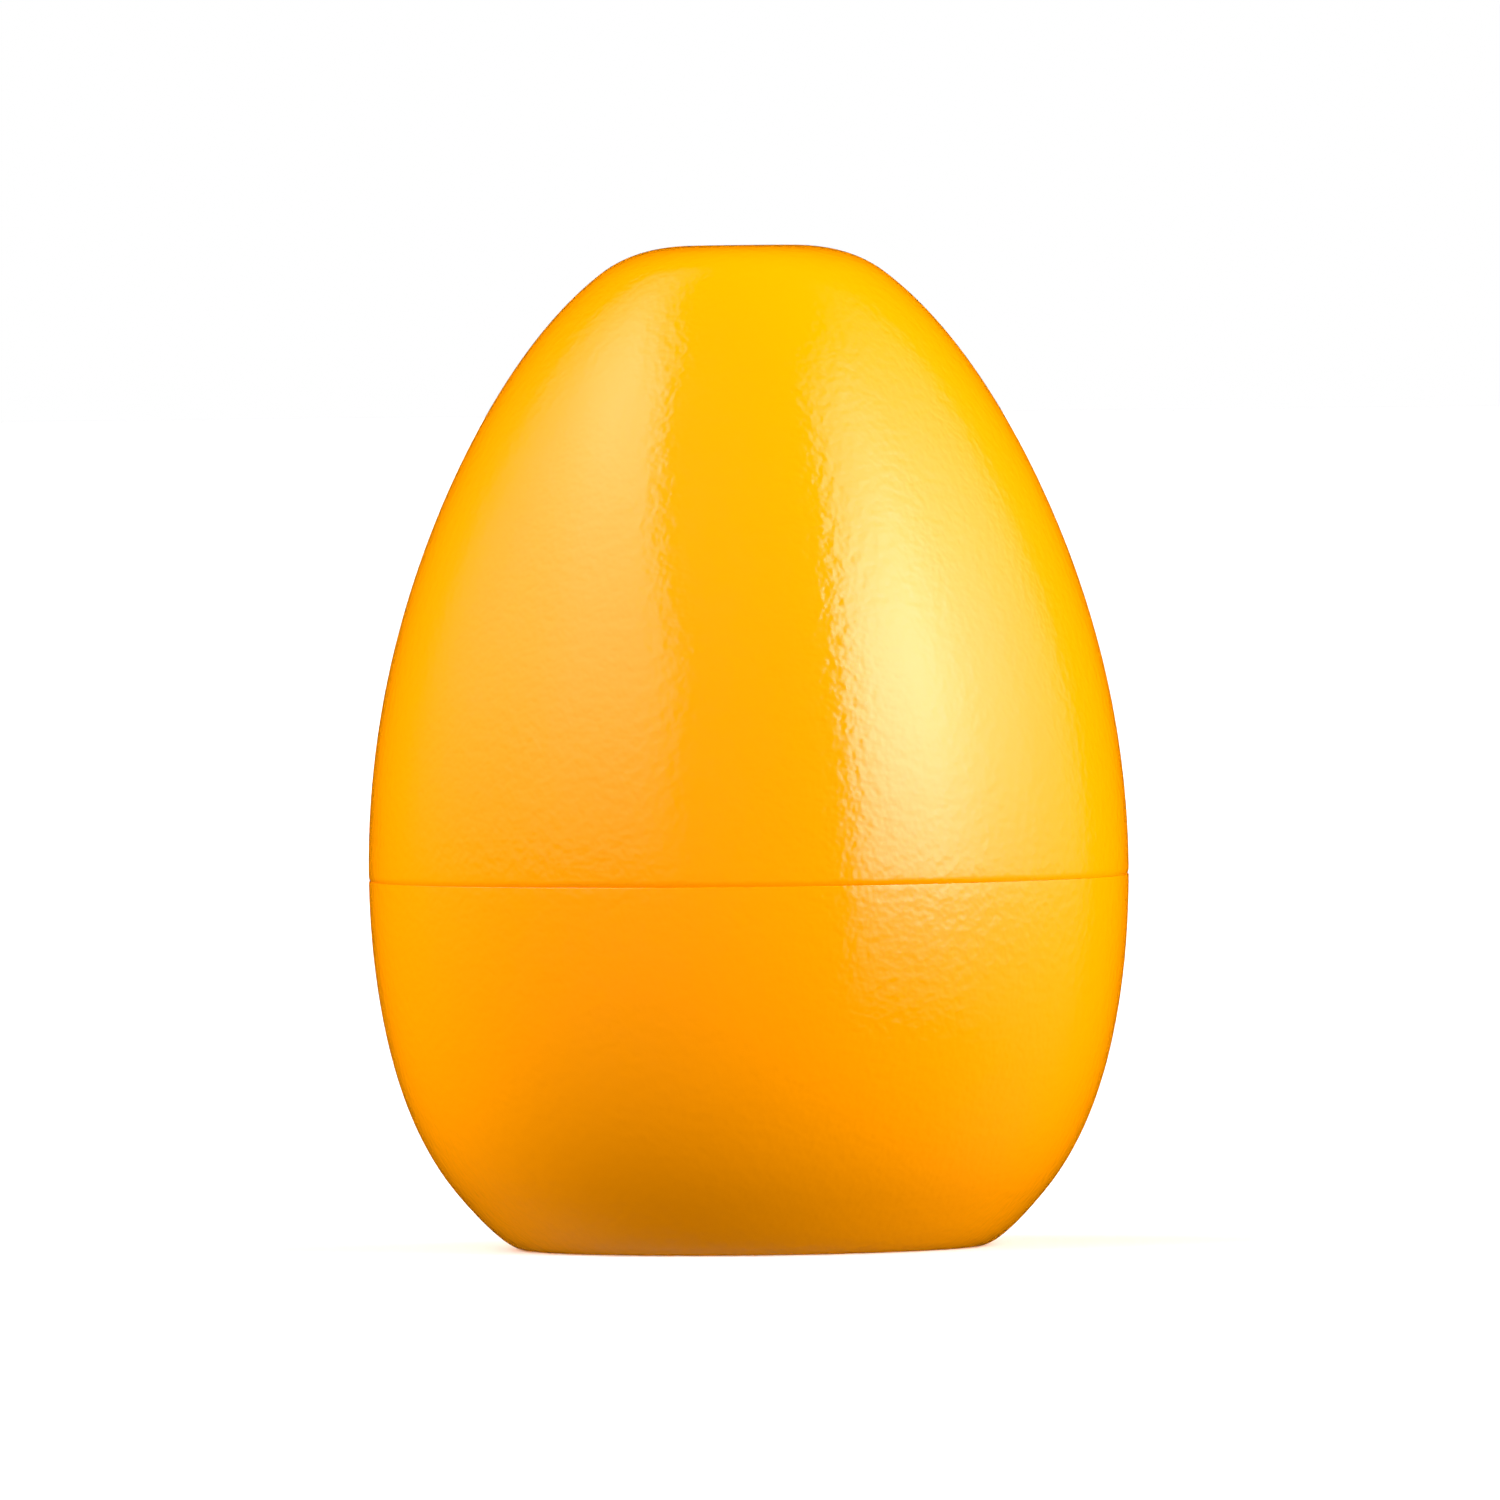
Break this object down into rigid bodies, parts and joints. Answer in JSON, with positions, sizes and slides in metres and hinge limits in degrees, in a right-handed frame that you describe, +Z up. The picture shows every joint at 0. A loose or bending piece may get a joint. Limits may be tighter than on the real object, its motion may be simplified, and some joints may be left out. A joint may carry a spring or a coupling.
{
  "type": "kitchen timer",
  "caption": "Egg-shaped mechanical kitchen timer: the upper shell is the dial, wound by turning it over a fixed flat-bottomed lower shell.",
  "frame": {"origin": "centre of the flat base, where the egg's axis meets the table", "axes": "+Z up along the egg's axis; -Y is the plain front that faces the viewer"},
  "size_m": [0.0584, 0.0584, 0.077],
  "materials": {
    "case_plastic": "satin gloss with a faint orange-peel texture",
    "inner_plastic": "moulded matt",
    "brass": "stamped, lightly brushed",
    "steel": "turned",
    "spring_steel": "blued",
    "zinc_steel": "zinc plated",
    "bell_steel": "nickel plated, polished"
  },
  "bodies": {
    "case": {"bottom_shell": "case_plastic", "base_cover": "case_plastic", "cover_screw_1": "zinc_steel", "cover_screw_2": "zinc_steel", "cover_screw_3": "zinc_steel", "bottom_plate": "brass", "top_plate": "brass", "pillar_1": "steel", "pillar_2": "steel", "pillar_3": "steel", "plate_screw_1": "zinc_steel", "plate_screw_2": "zinc_steel", "plate_screw_3": "zinc_steel", "movement_screw_1": "zinc_steel", "movement_screw_2": "zinc_steel", "movement_screw_3": "zinc_steel", "bell": "bell_steel", "bell_stud": "steel", "bell_nut": "zinc_steel", "mainspring": "spring_steel", "hammer_spring": "spring_steel", "lever_pivot": "steel", "lever_spring": "spring_steel"},
    "dial": {"top_shell": "case_plastic", "dial_carrier": "inner_plastic", "carrier_screw_1": "zinc_steel", "carrier_screw_2": "zinc_steel", "carrier_screw_3": "zinc_steel", "main_arbor": "steel", "alarm_cam": "brass", "stop_pin": "steel", "clutch_washer": "spring_steel"},
    "great": {"great_wheel": "brass"},
    "second": {"second_arbor": "steel", "second_wheel": "brass"},
    "third": {"third_arbor": "steel", "third_wheel": "brass"},
    "fourth": {"fourth_arbor": "steel", "fourth_wheel": "brass"},
    "escape": {"escape_arbor": "steel", "escape_wheel": "brass"},
    "balance": {"balance_arbor": "steel", "pallet_lever": "steel", "balance_wheel": "brass"},
    "ringer": {"ringer_arbor": "steel", "star_wheel": "steel"},
    "hammer": {"hammer_arbor": "steel", "hammer_arm": "steel", "hammer_head": "brass", "hammer_tail": "steel"},
    "lever": {"stop_lever": "steel"}
  },
  "joints": [
    {"name": "dial_turn", "type": "hinge", "parent": "case", "child": "dial", "pos_m": [0, 0, 0.0284], "axis": [0, 0, -1], "range_deg": [0, 165], "deforming": ["mainspring"]},
    {"name": "great_wheel_turn", "type": "hinge", "parent": "case", "child": "great", "pos_m": [0, 0, 0.0199], "axis": [0, 0, 1], "continuous": true},
    {"name": "second_turn", "type": "hinge", "parent": "case", "child": "second", "pos_m": [0.01348, 0, 0.0218], "axis": [0, 0, 1], "continuous": true},
    {"name": "third_turn", "type": "hinge", "parent": "case", "child": "third", "pos_m": [0.01062, 0.01065, 0.0236], "axis": [0, 0, 1], "continuous": true},
    {"name": "fourth_turn", "type": "hinge", "parent": "case", "child": "fourth", "pos_m": [0.00141, 0.014, 0.0254], "axis": [0, 0, 1], "continuous": true},
    {"name": "escape_turn", "type": "hinge", "parent": "case", "child": "escape", "pos_m": [-0.00679, 0.01255, 0.0218], "axis": [0, 0, 1], "continuous": true},
    {"name": "ringer_turn", "type": "hinge", "parent": "case", "child": "ringer", "pos_m": [-0.00773, -0.01104, 0.0218], "axis": [0, 0, 1], "continuous": true},
    {"name": "balance_swing", "type": "hinge", "parent": "case", "child": "balance", "pos_m": [-0.01252, 0.00854, 0.024], "axis": [0, 0, 1], "range_deg": [-6, 6]},
    {"name": "hammer_swing", "type": "hinge", "parent": "case", "child": "hammer", "pos_m": [-0.01281, -0.00392, 0.0106], "axis": [0, 0, 1], "range_deg": [0, 12], "stiffness_Nm_per_rad": 0.0001, "deforming": ["hammer_spring"]},
    {"name": "stop_lever_tilt", "type": "hinge", "parent": "case", "child": "lever", "pos_m": [-0.013, -0.012, 0.029], "axis": [0, 0, -1], "range_deg": [-6, 0], "deforming": ["lever_spring"]}
  ],
  "couplings": [
    {"joint": "second_turn", "follows": "great_wheel_turn", "ratio": -6},
    {"joint": "third_turn", "follows": "great_wheel_turn", "ratio": 36},
    {"joint": "fourth_turn", "follows": "great_wheel_turn", "ratio": -216},
    {"joint": "escape_turn", "follows": "great_wheel_turn", "ratio": 1296},
    {"joint": "ringer_turn", "follows": "great_wheel_turn", "ratio": -6}
  ]
}
